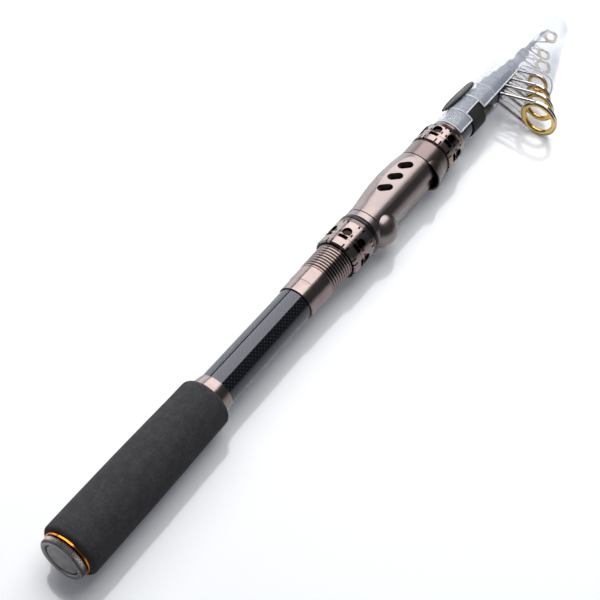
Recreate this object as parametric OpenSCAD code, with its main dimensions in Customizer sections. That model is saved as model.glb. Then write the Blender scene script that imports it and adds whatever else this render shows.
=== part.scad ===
// Telescopic fishing rod, collapsed, lying on its side with its line guides to the right.
// The rod's axis is the X axis, from the butt cap at X = 0 to the tip. +Z is up.

/* [Butt cap] */
// Radius of the butt cap
cap_r = 12.4; // [11:0.1:12.8]
// Length of the fluted rim of the butt cap
cap_len = 4; // [3:0.1:6]
// Radius of the recess in the butt cap's end
cap_recess_r = 9.4; // [8.5:0.1:10]
// Depth of the recess in the butt cap's end
cap_recess_depth = 1.2; // [0.8:0.1:1.6]
// Number of flutes round the butt cap
cap_flutes = 30; // [16:2:40]
// Radius of each flute
cap_flute_r = 0.6; // [0.4:0.05:0.7]
// Thickness of the disc set into the butt cap
cap_disc_t = 0.7; // [0.4:0.1:0.7]
// Radius of the cap's screw thread
spigot_r = 8.2; // [7.6:0.1:8.4]
// Length of the cap's screw thread
spigot_len = 11; // [8:0.5:14]
// Length that the screw stands out of its insert
spigot_out = 1; // [0.5:0.1:2]
// Thickness of the rubber damper on the screw's end
damper_t = 2; // [1:0.5:3]
// Gap between the damper and the rear ends of the inner sections
damper_gap = 0.3; // [0.2:0.1:1]
// Radius of the thin trim ring behind the cap
trim_r = 13.1; // [12.8:0.1:13.6]
// Thickness of the thin trim ring
trim_t = 1; // [0.6:0.1:2]

/* [Grip] */
// Radius of the foam grip at its rear
grip_r = 15.5; // [14.6:0.1:17]
// Radius of the foam grip at its front
grip_front_r = 14.3; // [13.4:0.1:14.5]
// Length of the foam grip
grip_len = 103.8; // [80:0.2:115]
// Radius of the rounding on the grip's ends
grip_round = 2.6; // [1.5:0.1:2.8]
// Length of the metal collar in front of the grip
collar_len = 6.8; // [4:0.2:12]
// Radius of the collar at its rear
collar_rear_r = 11.7; // [11:0.1:13]
// Radius of the collar at its front
collar_front_r = 10.5; // [10.3:0.1:10.8]

/* [Rod sections] */
// Radius of the butt section at its rear
blank_rear_r = 10.7; // [10.5:0.05:10.9]
// Length of the butt section in front of the reel seat
blank_front = 34.8; // [30:0.2:50]
// Radius of each section at its front end, from the butt section to the tip
front_r = [8.6, 7, 5.6, 4.4, 3.4, 2.45, 0.9];
// Wall of each section, from the butt section on, and the tip is solid
wall = [1, 0.85, 0.75, 0.65, 0.6, 0.55];
// Length of overlap that stays between two extended sections
overlap = 35; // [25:1:60]
// Clearance between two sections where they come to their stop
section_clear = 0.08; // [0.05:0.01:0.15]
// Clearance between a rod section and the pieces bonded to it
bond = 0.03; // [0.02:0.01:0.1]

/* [Reel seat] */
// Position of the reel seat's rear end
seat_x = 183; // [176:1:183]
// Length of the plain sleeve behind the thread
sleeve_len = 18.4; // [14:0.2:20]
// Distance from the sleeve's rear end to the step round it
sleeve_step_in = 8.4; // [4:0.2:12]
// Height of the step round the sleeve
sleeve_step = 0.15; // [0.05:0.05:0.2]
// Bevel of the sleeve's rear edge
sleeve_bevel = 0.5; // [0.2:0.1:0.6]
// Radius of the plain sleeve
sleeve_r = 10.5; // [10.3:0.05:10.6]
// Radius of the thread's crests
thread_r = 10.7; // [10.5:0.05:10.9]
// Depth of the thread
thread_depth = 0.6; // [0.3:0.05:0.7]
// Distance between two thread crests
thread_pitch = 1.85; // [1:0.05:2]
// Running clearance between the thread and the pieces that turn or slide on it
run_clear = 0.08; // [0.03:0.01:0.1]
// Length of the visible thread behind the lock ring
thread_free = 17.6; // [10:0.2:18]
// Radius of the lock ring, the lock nut and the fixed crown
nut_r = 12.6; // [12.2:0.1:13]
// Length of the lock ring
lock_len = 6.6; // [4:0.1:7]
// Length of the lock nut
nut_len = 13; // [11:0.2:14]
// Bevel of the lock ring's rear edge
lock_bevel = 0.8; // [0.3:0.1:1]
// Number of arches round the lock nut and the fixed crown
arches = 8; // [6:1:9]
// Radius of an arch's round top
arch_r = 2.7; // [1.8:0.1:2.9]
// Distance from a piece's rear edge to the middle of an arch's round top
arch_in = 3.9; // [3.6:0.1:4.4]
// Length of the straight sides below an arch's round top
arch_side = 2; // [1:0.1:2.4]
// Depth of the arches, notches and slots
cut_depth = 1.3; // [0.5:0.1:1.3]
// Length of the notches where two notched pieces meet
notch_len = 1.1; // [0.6:0.1:1.4]
// Width of the small slots, which stand in pairs between the arches
slot_w = 0.9; // [0.5:0.1:1.2]
// Length of the small slots
slot_len = 1.8; // [1:0.1:2]
// Half angle between the two slots of a pair
slot_half_angle = 6.5; // [5:0.5:7]
// Length of the slots in the rear edges of the lock ring and of the ring in front of the fixed hood
edge_slot_len = 3; // [2:0.1:3.4]
// Distance from the lock nut's front edge to its front slots
nut_slot_in = 4; // [3.4:0.1:5]
// Length of the rubber O-ring
oring_len = 3.4; // [1.6:0.1:3.6]
// Height of the rubber O-ring over the hood behind it
oring_rise = 0.5; // [0.2:0.1:0.6]
// Radius of the rounding on the O-ring
oring_round = 1.2; // [0.6:0.1:1.4]
// Length of the sliding hood's ring
hood_ring_len = 4.2; // [3:0.1:5]
// Radius of the sliding hood's ring and of the band in front of it
band_r = 12; // [11.9:0.05:12.2]
// Radius of the hood's bulge over the reel foot
bulge_r = 10.2; // [9.8:0.1:10.6]
// Part of the bulge's round back that the hood's rear face cuts off
bulge_trim = 1; // [0:0.1:3]
// Distance of the bulge's centre from the rod's axis
bulge_off = 6.3; // [6:0.1:6.6]
// Wall of the hood's bulge
bulge_wall = 1.4; // [1:0.1:1.5]
// Distance that the bulge reaches past the hood's ring
bulge_reach = 13.4; // [10:0.2:15]
// Length of the seat body between the two hoods
body_len = 50.8; // [46:0.2:54]
// Radius of the seat body beside the reel foot
body_r = 11.4; // [11.2:0.05:11.5]
// Distance of the flat reel bed from the axis
bed_off = 10.4; // [10.3:0.05:10.5]
// Largest radius of the swell under the palm
swell_r = 14.1; // [13.6:0.1:14.3]
// Distance of the swell's flat pads from the axis
pad_off = 13; // [12.7:0.05:13.2]
// Half length of a pad
pad_half = 17.4; // [14:0.2:18]
// Width of the groove between the swell and the fixed hood
neck_w = 1; // [0.4:0.1:2]
// Angle of each pad's middle from the guide side
pad_angle = 101.5; // [98:0.5:106]
// Half angle that the swell leaves free for the reel foot
foot_half_angle = 63; // [61:0.5:66]
// Distance between two windows in a pad
window_pitch = 10; // [8:0.2:10.4]
// Length of a window
window_len = 8.6; // [6:0.1:9]
// Width of a window
window_w = 5; // [3:0.1:5.4]
// Slant of a window from straight across the rod
window_slant = 40; // [0:1:45]
// Length of the fixed hood
fixed_hood_len = 13.4; // [10:0.2:16]
// Radius of the fixed hood
fixed_hood_r = 12.3; // [12.2:0.05:12.6]
// Bevel of the fixed hood's front edge, along the rod
hood_bevel = 2; // [0.8:0.1:2.4]
// Angle that the fixed hood flares by over the reel foot
flare = 15; // [12:0.5:17]
// Radius of the flare's round section
flare_r = 11.3; // [11.1:0.05:11.6]
// Wall of the flare
flare_wall = 0.9; // [0.8:0.05:1.1]
// Depth of the reel foot's pocket in the fixed hood
pocket_depth = 7; // [5:0.2:8]
// Length of the notched ring in front of the fixed hood
upper_ring_len = 5; // [3:0.2:6]
// Length of the fixed crown
crown_len = 9.4; // [8.6:0.2:11]
// Turn of the fixed crown's arches from the top towards the left
crown_turn = 8; // [0:1:22]
// Drop of the crown's radius towards its front
crown_drop = 0.8; // [0.4:0.1:1.2]
// Length of the crown's tapered front
crown_taper = 2.2; // [1:0.1:2.6]
// Distance from the crown's front edge to its front slots
crown_slot_in = 3.1; // [2.7:0.1:3.6]
// Length of the tapered front check
check_len = 3.6; // [2:0.2:6]
// Radius of the front check's front edge
check_front_r = 10.6; // [10.2:0.05:11]
// Drop from the crown's radius to the front check's rear edge
check_drop = 1.2; // [1:0.1:1.6]

/* [Line guides] */
// Distance from the butt section's end to the first guide ring, and from each ring to the next
guide_step = [11, 7.6, 6.8, 8, 13.6, 8.6];
// Distance of each guide ring's centre from the axis
guide_h = [32.5, 28, 23.5, 18.5, 14, 9.5];
// Outer radius of each guide ring
guide_r = [11.5, 9.5, 8, 6.5, 5, 4];
// Radius of the round section of each ring's insert
insert_r = [1.4, 1.15, 1, 0.85, 0.7, 0.6];
// Radius of the wire of each guide's legs
leg_r = [1, 0.9, 0.8, 0.7, 0.6, 0.5];
// Wall of the guide frame's hoop round the insert
hoop_t = 0.5; // [0.4:0.05:0.7]
// Length of each guide's ferrule
ferrule_len = 5.4; // [4:0.1:5.6]
// Wall of each guide's ferrule
ferrule_t = 0.7; // [0.4:0.05:0.9]
// Distance from the last guide ring to the tip ring
tip_step = 15.4; // [14:0.2:20]
// Distance of the tip ring's centre from the axis
tip_ring_h = 4.9; // [4.6:0.1:5.2]
// Outer radius of the tip ring
tip_ring_r = 4.6; // [4:0.1:4.8]
// Radius of the round section of the tip ring's insert
tip_insert_r = 0.7; // [0.5:0.05:0.9]

/* [Tip cover] */
// Radius of the cover where it clips on the rod
cover_r = 10.8; // [10.6:0.05:11]
// Wall of the cover
cover_t = 0.6; // [0.4:0.05:0.7]
// Distance from the third guide ring to the mouth of the cover's bag
mouth_step = 5.2; // [3:0.1:5.2]
// Length of the cover in front of the tip ring
cover_nose = 11.6; // [6:0.2:20]
// Half angle of the slot that the guides stand in
cover_slot_half = 51; // [46:1:56]
// Distance that the bag's rounding reaches past the fourth guide's centre, at its mouth
bag_lead = 1; // [0:0.1:3]
// Clearance between the fourth guide ring and the bag
bag_clear = 1.7; // [1:0.1:3]
// Clearance between the tip ring and the bag's front end
bag_tip_clear = 0.9; // [0.6:0.1:2]
// Width of the strap
strap_w = 12; // [8:0.5:14]
// Thickness of the strap
strap_t = 1; // [0.6:0.1:1.1]
// Distance from the cover's rear edge to the strap
strap_in = 12.6; // [8:0.2:16]
// Angle of the strap's slit from the top towards the left
strap_turn = 54; // [45:1:80]
// Half angle that the loose tab covers
tab_half_angle = 34; // [20:1:36]
// Angle from the strap's slit up to the middle of its loose tab
tab_lift = 12; // [0:1:16]
// Angle of the cover's notch over the strap, from the slot's upper edge
strap_notch = 27; // [10:1:30]
// Length of the strap's loose tab
tab_len = 28; // [18:1:34]
// Rise of the strap's loose tab
tab_rise = 1.7; // [1:0.1:3]
// Thickness of the tab's edge
tab_edge = 0.5; // [0.3:0.1:1]
// Distance that the tab reaches behind the strap
tab_back = 3; // [0:0.2:4]
// Gap between the tab and the cover
tab_clear = 0.4; // [0.3:0.05:0.8]
// Width of the slit that the strap comes out of
slit_w = 2.6; // [2.2:0.1:3.5]
// Clearance on each side of the strap in its slit and its notch
slit_clear = 0.5; // [0.3:0.1:0.8]

/* [Hidden] */
$fn = 64;

// Gap between flat faces that turn against each other, and a cutter's reach past a face
face_gap = 0.2;
eps = 0.1;
carbon = [0.07, 0.07, 0.08];
gunmetal = [0.55, 0.48, 0.47];
smoke = [0.28, 0.26, 0.26];
gold = [0.85, 0.62, 0.22];
foam = [0.2, 0.2, 0.2];
rubber = [0.06, 0.06, 0.07];

// Stations along the rod, each from the piece behind it
blank_x = cap_len + face_gap;
trim_x = blank_x;
grip_x = trim_x + trim_t;
collar_x = grip_x + grip_len;
thread_x = seat_x + sleeve_len;
lock_x = thread_x + thread_free;
nut_x = lock_x + lock_len + face_gap;
oring_x = nut_x + nut_len + face_gap;
hood_x = oring_x + oring_len;
body_x = hood_x + hood_ring_len + face_gap;
thread_end_x = body_x;
fixed_hood_x = body_x + body_len;
upper_ring_x = fixed_hood_x + fixed_hood_len;
crown_x = upper_ring_x + upper_ring_len + face_gap;
check_x = crown_x + crown_len;
check_end_x = check_x + check_len;
blank_end_x = check_end_x + blank_front;
guide_x = [for (k = [0:5]) guide_at(k)];
tip_ring_x = guide_x[5] + tip_step;
cover_x = check_end_x + 2 * face_gap;
cover_mouth_x = guide_x[2] + mouth_step;
cover_clip_len = cover_mouth_x - cover_x;
cover_end_x = tip_ring_x + cover_nose;
bag_off = guide_h[3] + bag_lead;
bag_r = guide_r[3] + bag_clear + cover_t;
bag_tip_r = tip_ring_r + bag_tip_clear + cover_t;
damper_x = cap_len + spigot_len;
section_rear_x = damper_x + damper_t + damper_gap;

// Station of guide ring k, counted from the butt section's end
function guide_at(k) = guide_step[k] + (k == 0 ? blank_end_x : guide_at(k - 1));

// Guides stand to the right, turned down so that the largest ring lies level with the grip's underside
guide_roll = asin((grip_r - guide_r[0]) / guide_h[0]);

// Front end of each section, from the butt section to the tip
front_x = concat([blank_end_x], [for (i = [0:4]) guide_x[i] + ferrule_len / 2 + face_gap], [tip_ring_x]);
sections = len(front_r);

// Length of section i, and the bore of the one before it at its mouth with the clearance taken off
function section_len(i) = front_x[i] - (i == 0 ? blank_x : section_rear_x);
function mouth_r(i) = front_r[i - 1] - wall[i - 1] - section_clear;
// Outer radius of section i at its rear end, clear at both ends of the overlap when drawn out, and along it
function free_at_mouth(i) = let (t = overlap / section_len(i)) (mouth_r(i) - front_r[i] * t) / (1 - t);
function free_at_rear(i) = mouth_r(i) + (rear_r(i - 1) - front_r[i - 1]) * overlap / section_len(i - 1);
function rear_r(i) = i == 0 ? blank_rear_r : min(free_at_mouth(i), free_at_rear(i));
function section_r(i, x) = front_r[i] + (rear_r(i) - front_r[i]) * (front_x[i] - x) / section_len(i);
function blank_r(x) = section_r(0, x);

// Points of an arc of radius r round (cx, cy), from angle a to angle b
function arc(cx, cy, r, a, b, n = 6) =
    [for (k = [0:n]) let (t = a + (b - a) * k / n) [cx + r * cos(t), cy + r * sin(t)]];

// Child drawn along local Z is laid along the rod from station x
module along(x) {
    translate([x, 0, 0]) rotate([0, 90, 0]) children();
}

// Child drawn with the guide side along -Y is turned to the guides' real direction
module guide_side() {
    rotate([guide_roll, 0, 0]) children();
}

// Solid of revolution from a list of [station, radius] points, closed along the axis
module turned(points) {
    along(0) rotate_extrude() polygon([for (p = points) [p[1], p[0]]]);
}

// Hole along the rod that leaves the bond clearance round the butt section
module blank_bore(x0, x1) {
    rear_r = blank_r(x0 - eps) + bond;
    end_r = blank_r(x1 + eps) + bond;
    along(x0 - eps) cylinder(r1 = rear_r, r2 = end_r, h = x1 - x0 + 2 * eps);
}

// Straight round wire from point a to point b
module wire(a, b, r) {
    d = b - a;
    translate(a) rotate([0, acos(d[2] / norm(d)), atan2(d[1], d[0])]) cylinder(r = r, h = norm(d), $fn = 24);
}

// Conical tube of section i, or a solid cone for the tip
module section_tube(i) {
    x0 = i == 0 ? blank_x : section_rear_x;
    length = section_len(i);
    difference() {
        along(x0) cylinder(r1 = rear_r(i), r2 = front_r[i], h = length);
        if (i < sections - 1) {
            bore_rear = section_r(i, x0 - eps) - wall[i];
            bore_front = section_r(i, front_x[i] + eps) - wall[i];
            along(x0 - eps) cylinder(r1 = bore_rear, r2 = bore_front, h = length + 2 * eps);
        }
    }
}

module butt_cap() {
    color(gunmetal) difference() {
        union() {
            along(0) cylinder(r = cap_r, h = cap_len);
            along(cap_len - eps) cylinder(r = spigot_r, h = spigot_len + eps);
        }
        along(-eps) cylinder(r = cap_recess_r, h = cap_recess_depth + eps);
        for (k = [0:cap_flutes - 1]) {
            rotate([360 * k / cap_flutes, 0, 0]) translate([0, cap_r, 0]) along(-eps)
                cylinder(r = cap_flute_r, h = cap_len + 2 * eps, $fn = 16);
        }
    }
}

module cap_disc() {
    color(gunmetal) along(cap_recess_depth - cap_disc_t)
        cylinder(r = cap_recess_r - run_clear, h = cap_disc_t);
}

module cap_damper() {
    damper_r = 0.95 * spigot_r;
    color(rubber) along(damper_x) cylinder(r = damper_r, h = damper_t);
}

module butt_insert() {
    insert_len = spigot_len - spigot_out;
    rear_r = blank_r(blank_x) - wall[0] - bond;
    end_r = blank_r(blank_x + insert_len) - wall[0] - bond;
    color("silver") difference() {
        along(blank_x) cylinder(r1 = rear_r, r2 = end_r, h = insert_len);
        along(blank_x - eps) cylinder(r = spigot_r + run_clear, h = insert_len + 2 * eps);
    }
}

module trim_ring() {
    color(gold) difference() {
        along(trim_x) cylinder(r = trim_r, h = trim_t);
        blank_bore(trim_x, trim_x + trim_t);
    }
}

module foam_grip() {
    front = grip_x + grip_len;
    outline = concat([[grip_x, 0]],
                     [for (p = arc(grip_x + grip_round, grip_r - grip_round, grip_round, 180, 90)) p],
                     [for (p = arc(front - grip_round, grip_front_r - grip_round, grip_round, 90, 0)) p],
                     [[front, 0]]);
    color(foam) difference() {
        turned(outline);
        blank_bore(grip_x, front);
    }
}

module grip_collar() {
    color(gunmetal) difference() {
        along(collar_x) cylinder(r1 = collar_rear_r, r2 = collar_front_r, h = collar_len);
        blank_bore(collar_x, collar_x + collar_len);
    }
}

module butt_section() {
    color(carbon) section_tube(0);
}

// Plain sleeve with a step round it, and the thread as a row of ridges
module seat_tube() {
    step_x = seat_x + sleeve_step_in;
    rear_r = sleeve_r - sleeve_step;
    ridges = floor((thread_end_x - thread_x) / thread_pitch);
    root_r = thread_r - thread_depth;
    flank = 0.2 * thread_pitch;
    crest = 0.3 * thread_pitch;
    ridge_points = [for (k = [0:ridges - 1]) let (x = thread_x + k * thread_pitch)
                    each [[x, root_r], [x + flank, thread_r], [x + flank + crest, thread_r],
                          [x + 2 * flank + crest, root_r]]];
    outline = concat([[seat_x, 0], [seat_x, rear_r - sleeve_bevel], [seat_x + sleeve_bevel, rear_r]],
                     [[step_x, rear_r], [step_x + sleeve_step, sleeve_r], [thread_x - eps, sleeve_r]],
                     ridge_points, [[thread_end_x, root_r], [thread_end_x, 0]]);
    color(gunmetal) difference() {
        turned(outline);
        blank_bore(seat_x, thread_end_x);
    }
}

// Blind arches with round tops, which open towards a turned piece's rear edge
module arch_cuts(x, r, turn) {
    for (k = [0:arches - 1]) {
        rotate([360 * k / arches - turn, 0, 0]) translate([x, 0, r - cut_depth]) {
            cylinder(r = arch_r, h = 2 * cut_depth, $fn = 32);
            translate([-arch_side, -arch_r, 0]) cube([arch_side, 2 * arch_r, 2 * cut_depth]);
        }
    }
}

// Blind notches in an edge, each in line with an arch
module notch_cuts(x, length, r, turn) {
    for (k = [0:arches - 1]) {
        rotate([360 * k / arches - turn, 0, 0]) translate([x, -arch_r, r - cut_depth])
            cube([length, 2 * arch_r, 2 * cut_depth]);
    }
}

// Blind slots along a turned piece, in pairs midway between the arches
module slot_cuts(x, length, r, turn) {
    for (k = [0:arches - 1]) {
        for (side = [-1, 1]) {
            rotate([360 * (k + 0.5) / arches + side * slot_half_angle - turn, 0, 0])
                translate([x, -slot_w / 2, r - cut_depth]) cube([length, slot_w, 2 * cut_depth]);
        }
    }
}

// Fine grooves round a turned piece
module groove_cuts(x, r, count, pitch) {
    groove_w = 0.4;
    groove_depth = 0.3;
    cutter_reach = 1;
    for (k = [0:count - 1]) {
        along(x + k * pitch) difference() {
            cylinder(r = r + cutter_reach, h = groove_w);
            translate([0, 0, -eps]) cylinder(r = r - groove_depth, h = groove_w + 2 * eps);
        }
    }
}

module lock_ring() {
    x1 = lock_x + lock_len;
    color(gunmetal) difference() {
        turned([[lock_x, 0], [lock_x, nut_r - lock_bevel], [lock_x + lock_bevel, nut_r],
                [x1, nut_r], [x1, 0]]);
        along(lock_x - eps) cylinder(r = thread_r + run_clear, h = lock_len + 2 * eps);
        slot_cuts(lock_x - eps, edge_slot_len + eps, nut_r, 0);
        notch_cuts(x1 - notch_len, notch_len + eps, nut_r, 0);
    }
}

module lock_nut() {
    groove_pitch = 0.7;
    grooves = 3;
    color(gunmetal) difference() {
        along(nut_x) cylinder(r = nut_r, h = nut_len);
        along(nut_x - eps) cylinder(r = thread_r + run_clear, h = nut_len + 2 * eps);
        notch_cuts(nut_x - eps, notch_len + eps, nut_r, 0);
        arch_cuts(nut_x + arch_in, nut_r, 0);
        slot_cuts(nut_x + arch_in - arch_side, slot_len, nut_r, 0);
        slot_cuts(nut_x + nut_len - nut_slot_in, slot_len, nut_r, 0);
        groove_cuts(nut_x + nut_len - grooves * groove_pitch, nut_r, grooves, groove_pitch);
    }
}

module seat_oring() {
    outer_r = band_r + oring_rise;
    x1 = oring_x + oring_len - face_gap;
    mid_r = outer_r - oring_round;
    color(rubber) difference() {
        turned(concat([[oring_x, 0]], arc(oring_x + oring_round, mid_r, oring_round, 180, 90),
                      arc(x1 - oring_round, mid_r, oring_round, 90, 0), [[x1, 0]]));
        along(oring_x - eps) cylinder(r = thread_r + run_clear, h = oring_len + 2 * eps);
    }
}

// Ring on the thread with a round bulge that reaches forward over the reel foot
module slide_hood() {
    bulge_x = hood_x + bulge_r - bulge_trim;
    bulge_end = hood_x + hood_ring_len + bulge_reach;
    pocket_r = bulge_r - bulge_wall;
    back = arc(bulge_x, 0, bulge_r, 180 - acos((bulge_x - hood_x) / bulge_r), 90, 10);
    side_clear = 0.35;
    ring_end = hood_x + hood_ring_len;
    color(gunmetal) difference() {
        union() {
            along(hood_x) cylinder(r = band_r, h = hood_ring_len);
            guide_side() translate([0, -bulge_off, 0])
                turned(concat([[hood_x, 0]], back, [[bulge_end, bulge_r], [bulge_end, 0]]));
        }
        along(hood_x - eps) cylinder(r = thread_r + run_clear, h = bulge_end);
        along(ring_end) cylinder(r = body_r + side_clear, h = bulge_end);
        guide_side() translate([0, -bulge_off, 0]) along(ring_end) cylinder(r = pocket_r, h = bulge_end);
    }
}

// Radius of the palm swell at distance d from its middle
function swell_at(d) = max(band_r, swell_r - (swell_r - pad_off) * pow(d / pad_half, 2));

// One flat pad's cut with its row of three windows, on the side at the given angle from the guides
module pad_cut(side) {
    mid = fixed_hood_x - swell_half();
    rotate([side * pad_angle, 0, 0]) {
        translate([mid - 2 * pad_half, -pad_off - swell_r, -swell_r])
            cube([4 * pad_half, swell_r, 2 * swell_r]);
        for (k = [-1:1]) {
            translate([mid + k * window_pitch, 0, 0]) rotate([0, side * window_slant, 0]) window_cut();
        }
    }
}

// One window with round ends, cut from the rod's axis outwards along -Y
module window_cut() {
    straight = window_len - window_w;
    for (end = [-1, 1]) {
        translate([0, 0, end * straight / 2]) rotate([90, 0, 0])
            cylinder(r = window_w / 2, h = swell_r, $fn = 32);
    }
    translate([-window_w / 2, -swell_r, -straight / 2]) cube([window_w, swell_r, straight]);
}

// Share of the swell's own half length that lies behind the fixed hood
swell_share = 0.87;

// Distance from the swell's middle to the fixed hood
function swell_half() = pad_half * sqrt((swell_r - band_r) / (swell_r - pad_off)) * swell_share;

// Tube under the reel, with a palm swell that leaves the guide side free, two windowed pads and a flat bed
module seat_body() {
    mid = fixed_hood_x - swell_half();
    steps = 14;
    step = (body_len - neck_w) / steps;
    swell_points = [for (k = [0:steps]) let (x = body_x + step * k) [x, swell_at(x - mid)]];
    color(gunmetal) difference() {
        guide_side() difference() {
            union() {
                along(body_x) cylinder(r = body_r, h = body_len);
                rotate([90 + foot_half_angle, 0, 0]) swell_sector(swell_points);
            }
            for (side = [-1, 1]) pad_cut(side);
            translate([body_x - eps, -bed_off - swell_r, -swell_r])
                cube([body_len + 2 * eps, swell_r, 2 * swell_r]);
        }
        blank_bore(body_x, fixed_hood_x);
    }
}

// Part turn of the swell, from the direction of local +Z round through -Y
module swell_sector(points) {
    last = len(points) - 1;
    outline = concat([[points[0][0], 0]], points, [[points[last][0], 0]]);
    along(0) rotate([0, 0, 180]) rotate_extrude(angle = 360 - 2 * foot_half_angle)
        polygon([for (p = outline) [p[1], p[0]]]);
}

// Length of round bar behind the fixed hood's bevel, which leans towards the guide side as it runs back
module flare_bar(r, length) {
    root_x = fixed_hood_x + fixed_hood_len - hood_bevel;
    reach = 2 * fixed_hood_r;
    intersection() {
        translate([root_x, 0, 0]) rotate([0, 0, flare]) rotate([0, 90, 0])
            cylinder(r = r, h = 4 * fixed_hood_len, center = true);
        translate([root_x - length, -reach, -reach]) cube([length, 2 * reach, 2 * reach]);
    }
}

// Band in front of the seat body that flares over the reel foot and leaves a pocket for its front end
module fixed_hood() {
    x1 = fixed_hood_x + fixed_hood_len;
    reach = 2 * fixed_hood_r;
    flare_len = fixed_hood_len - hood_bevel;
    color(gunmetal) difference() {
        guide_side() union() {
            turned([[fixed_hood_x, 0], [fixed_hood_x, fixed_hood_r], [x1 - hood_bevel, fixed_hood_r],
                    [x1, fixed_hood_r - hood_bevel / 3], [x1, 0]]);
            flare_bar(flare_r, flare_len);
        }
        blank_bore(fixed_hood_x, x1);
        guide_side() difference() {
            flare_bar(flare_r - flare_wall, flare_len + eps);
            translate([fixed_hood_x + pocket_depth, -reach, -reach]) cube(2 * reach);
            difference() {
                along(fixed_hood_x - 2 * eps) cylinder(r = body_r, h = fixed_hood_len);
                translate([fixed_hood_x - 3 * eps, -bed_off - reach, -reach])
                    cube([2 * fixed_hood_len, reach, 2 * reach]);
            }
        }
    }
}

module upper_ring() {
    x1 = upper_ring_x + upper_ring_len;
    color(gunmetal) difference() {
        along(upper_ring_x) cylinder(r = nut_r, h = upper_ring_len);
        blank_bore(upper_ring_x, x1);
        slot_cuts(upper_ring_x - eps, edge_slot_len + eps, nut_r, crown_turn);
        notch_cuts(x1 - notch_len, notch_len + eps, nut_r, crown_turn);
    }
}

module fixed_crown() {
    taper_x = check_x - crown_taper;
    color(gunmetal) difference() {
        turned([[crown_x, 0], [crown_x, nut_r], [taper_x, nut_r],
                [check_x, nut_r - crown_drop], [check_x, 0]]);
        blank_bore(crown_x, check_x);
        notch_cuts(crown_x - eps, notch_len + eps, nut_r, crown_turn);
        arch_cuts(crown_x + arch_in, nut_r, crown_turn);
        slot_cuts(crown_x + arch_in - arch_side, slot_len, nut_r, crown_turn);
        slot_cuts(check_x - crown_slot_in, slot_len, nut_r, crown_turn);
    }
}

module front_check() {
    rear_edge_r = nut_r - check_drop;
    first = 0.2 * check_len;
    first_r = rear_edge_r - first * (rear_edge_r - check_front_r) / check_len;
    groove_pitch = 1;
    grooves = 2;
    color(gunmetal) difference() {
        along(check_x) cylinder(r1 = rear_edge_r, r2 = check_front_r, h = check_len);
        blank_bore(check_x, check_end_x);
        groove_cuts(check_x + first, first_r, grooves, groove_pitch);
    }
}

// Wire legs, hoop and ferrule that carry one ring, with the ring's centre at height h
module guide_frame(x, h, r, wire_r, minor, tube_r) {
    spread = 62;
    hoop_w = minor;
    foot_r = tube_r + ferrule_t;
    foot_half = min(0.45 * foot_r, 0.5 * r);
    color(smoke) guide_side() difference() {
        union() {
            along(x - ferrule_len / 2) cylinder(r = foot_r, h = ferrule_len);
            for (side = [-1, 1]) {
                wire([x - ferrule_len / 4, -tube_r, side * foot_half],
                     [x, -h + r * cos(spread), side * (r - wire_r / 2) * sin(spread)], wire_r);
            }
            translate([0, -h, 0]) along(x - hoop_w / 2) cylinder(r = r, h = hoop_w);
        }
        along(x - ferrule_len) cylinder(r = tube_r + bond, h = 2 * ferrule_len);
        translate([0, -h, 0]) along(x - ferrule_len) cylinder(r = r - hoop_t, h = 2 * ferrule_len);
    }
}

// Round-section ring insert that the line runs through
module guide_ring(x, h, r, minor) {
    color(gold) guide_side() translate([0, -h, 0]) along(x)
        rotate_extrude() translate([r - hoop_t - minor - bond, 0]) circle(r = minor, $fn = 24);
}

// Radius of the section that guide k stands on, at the rear edge of its ferrule
function carrier_r(k) = section_r(k + 1, guide_x[k] - ferrule_len / 2);

module tip_frame() {
    minor = tip_insert_r;
    tube_r = section_r(sections - 1, tip_ring_x - 2 * ferrule_len);
    wire_r = 0.5;
    root_x = tip_ring_x - ferrule_len;
    color(smoke) guide_side() difference() {
        union() {
            along(root_x - ferrule_len) cylinder(r = tube_r + ferrule_t, h = ferrule_len);
            for (side = [-1, 1]) {
                wire([root_x - ferrule_len / 2, -tube_r, side * tube_r],
                     [tip_ring_x, -tip_ring_h, side * (tip_ring_r + wire_r / 2)], wire_r);
            }
            translate([0, -tip_ring_h, 0]) along(tip_ring_x - minor) cylinder(r = tip_ring_r, h = 2 * minor);
        }
        along(root_x - 2 * ferrule_len) cylinder(r = tube_r + bond, h = 4 * ferrule_len);
        translate([0, -tip_ring_h, 0]) along(tip_ring_x - 2 * minor)
            cylinder(r = tip_ring_r - hoop_t, h = 4 * minor);
    }
}

// Outline of the bag's cross-section, as two thin discs at one station
module bag_slice(x, r, off, end_r) {
    slice = 0.05;
    along(x) cylinder(r = r, h = slice, $fn = 40);
    translate([0, -off, 0]) along(x) cylinder(r = end_r, h = slice, $fn = 40);
}

// Bag round the small guides, made smaller all round by inset
module bag(inset, start, end) {
    hull() {
        bag_slice(start, cover_r - inset, bag_off, bag_r - inset);
        bag_slice(end, bag_tip_r - inset, tip_ring_h, bag_tip_r - inset);
    }
}

// Wedge along the rod between two angles from the guide side, measured over the top
module wedge(x, length, from, to, reach) {
    translate([x, 0, 0]) rotate([90, 0, 90]) linear_extrude(length)
        polygon([[0, 0], [-reach * cos(from), reach * sin(from)], [-reach * cos(to), reach * sin(to)]]);
}

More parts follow.
